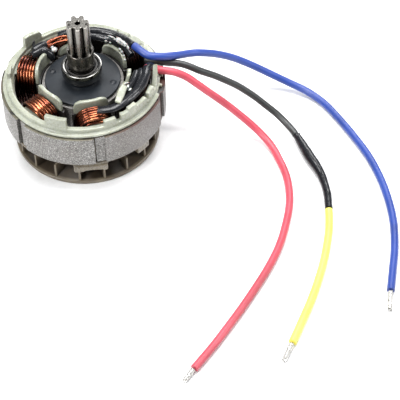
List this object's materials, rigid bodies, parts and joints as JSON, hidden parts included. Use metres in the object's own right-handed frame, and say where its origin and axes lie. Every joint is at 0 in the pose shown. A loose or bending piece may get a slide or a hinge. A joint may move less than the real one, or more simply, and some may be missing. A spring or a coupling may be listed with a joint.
{
  "type": "brushless motor",
  "caption": "Brushless power-tool motor: wound stator ring with nylon end frames, inner rotor on a ball-bearing shaft with a pinion and a fan, and coloured leads.",
  "frame": {"origin": "on the shaft's axis, at the level of the fan's underside, which the motor stands on", "axes": "+Z along the shaft towards the pinion; +X towards the side where the leads come out"},
  "size_m": [0.1207, 0.1324, 0.0487],
  "materials": {
    "lamination": "speckled grey coating",
    "nylon": "pale, slightly translucent, glossy",
    "copper": "dark red-brown enamel on round wire",
    "steel": "ground",
    "black_plate": "semi-gloss black",
    "magnet": "nickel-plated",
    "fan": "smoky, slightly translucent",
    "black_sleeve": "glossy heat-shrink",
    "varnish": "hardened drops",
    "blue_jacket": "satin",
    "red_jacket": "satin",
    "black_jacket": "satin",
    "yellow_jacket": "satin",
    "tinned": "twisted and tinned strands"
  },
  "bodies": {
    "stator": {"stator_core": "lamination", "top_insulator": "nylon", "bottom_insulator": "nylon", "coil_1": "copper", "coil_2": "copper", "coil_3": "copper", "coil_4": "copper", "coil_5": "copper", "coil_6": "copper", "rear_sleeve": "black_sleeve", "side_sleeve": "black_sleeve", "inner_sleeve": "black_sleeve", "link_sleeve": "black_sleeve", "rear_varnish": "varnish", "link_varnish": "varnish", "side_varnish": "varnish", "blue_lead": "blue_jacket", "red_lead": "red_jacket", "black_lead": "black_jacket", "splice_sleeve": "black_sleeve", "yellow_lead": "yellow_jacket", "blue_tip": "tinned", "red_tip": "tinned", "yellow_tip": "tinned"},
    "rotor": {"rotor_core": "lamination", "magnet_1": "magnet", "magnet_2": "magnet", "magnet_3": "magnet", "magnet_4": "magnet", "front_end_plate": "black_plate", "rear_end_plate": "black_plate", "shaft": "steel", "front_spacer": "steel", "front_inner_ring": "steel", "rear_inner_ring": "steel", "pinion": "steel", "fan": "fan"},
    "front_bearing": {"front_outer_ring": "steel", "front_shield": "black_plate"},
    "front_cage": {"front_ball_cage": "steel"},
    "rear_bearing": {"rear_outer_ring": "steel"},
    "rear_cage": {"rear_ball_cage": "steel"}
  },
  "joints": [
    {"name": "rotor_spin", "type": "hinge", "parent": "stator", "child": "rotor", "pos_m": [0, 0, 0.018], "axis": [0, 0, 1], "continuous": true},
    {"name": "front_ring_spin", "type": "hinge", "parent": "rotor", "child": "front_bearing", "pos_m": [0, 0, 0.02915], "axis": [0, 0, 1], "continuous": true},
    {"name": "front_cage_spin", "type": "hinge", "parent": "rotor", "child": "front_cage", "pos_m": [0, 0, 0.02915], "axis": [0, 0, 1], "continuous": true},
    {"name": "rear_ring_spin", "type": "hinge", "parent": "rotor", "child": "rear_bearing", "pos_m": [0, 0, 0.00215], "axis": [0, 0, 1], "continuous": true},
    {"name": "rear_cage_spin", "type": "hinge", "parent": "rotor", "child": "rear_cage", "pos_m": [0, 0, 0.00215], "axis": [0, 0, 1], "continuous": true}
  ],
  "couplings": [
    {"joint": "front_cage_spin", "follows": "front_ring_spin", "ratio": 0.5622},
    {"joint": "rear_cage_spin", "follows": "rear_ring_spin", "ratio": 0.5622}
  ]
}
